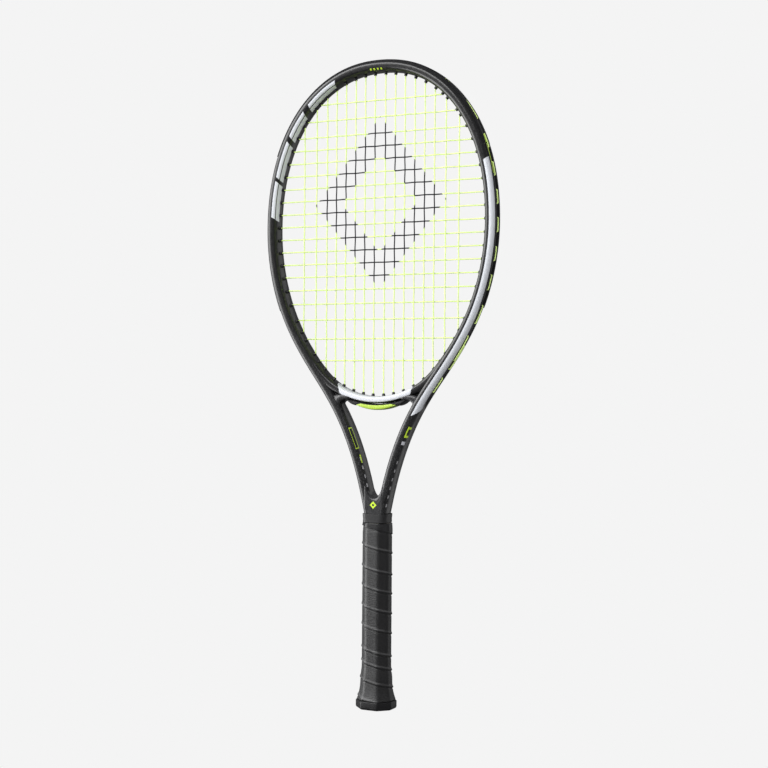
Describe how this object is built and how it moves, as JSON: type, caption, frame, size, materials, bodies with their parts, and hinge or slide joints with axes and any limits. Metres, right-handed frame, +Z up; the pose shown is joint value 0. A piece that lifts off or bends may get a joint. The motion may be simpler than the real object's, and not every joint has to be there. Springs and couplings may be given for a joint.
{
  "type": "tennis racket",
  "caption": "Strung junior tennis racket: hollow composite hoop with open throat, woven string bed, bumper guard and a wrapped octagonal handle.",
  "frame": {"origin": "middle of the butt end, on the plane of the butt cap's lower rim", "axes": "+Z up the racket from butt to tip, X across the face, the front of the face looks along -Y"},
  "size_m": [0.259, 0.0356, 0.66],
  "materials": {
    "frame_paint": "satin charcoal paint over carbon composite",
    "bridge_paint": "satin white paint over carbon composite",
    "black_nylon": "moulded nylon",
    "lime_plastic": "satin moulded",
    "string": "smooth monofilament",
    "handle_foam": "moulded foam",
    "cap_plastic": "moulded",
    "staple_steel": "bright wire",
    "grip": "embossed synthetic leather",
    "finishing_vinyl": "vinyl tape",
    "collar_rubber": "smooth"
  },
  "bodies": {
    "racket": {"frame_hairpin": "frame_paint", "throat_bridge": "bridge_paint", "bumper_guard": "black_nylon", "grommet_strip_left": "black_nylon", "grommet_strip_right": "black_nylon", "throat_grommet_strip": "black_nylon", "throat_insert": "lime_plastic", "main_string": "string", "cross_string": "string", "handle_shell_front": "handle_foam", "handle_shell_back": "handle_foam", "shank_plug_left": "handle_foam", "shank_plug_right": "handle_foam", "butt_cap": "cap_plastic", "cap_staple_left": "staple_steel", "cap_staple_right": "staple_steel", "grip_wrap": "grip", "finishing_tape": "finishing_vinyl"},
    "trap_door": {"trap_door": "cap_plastic"},
    "collar": {"rubber_collar": "collar_rubber"}
  },
  "joints": [
    {"name": "trap_door_pull", "type": "slide", "parent": "racket", "child": "trap_door", "axis": [0, 0, -1], "range_m": [0, 0.015]},
    {"name": "collar_slide", "type": "slide", "parent": "racket", "child": "collar", "axis": [0, 0, 1], "range_m": [0, 0.003]}
  ]
}
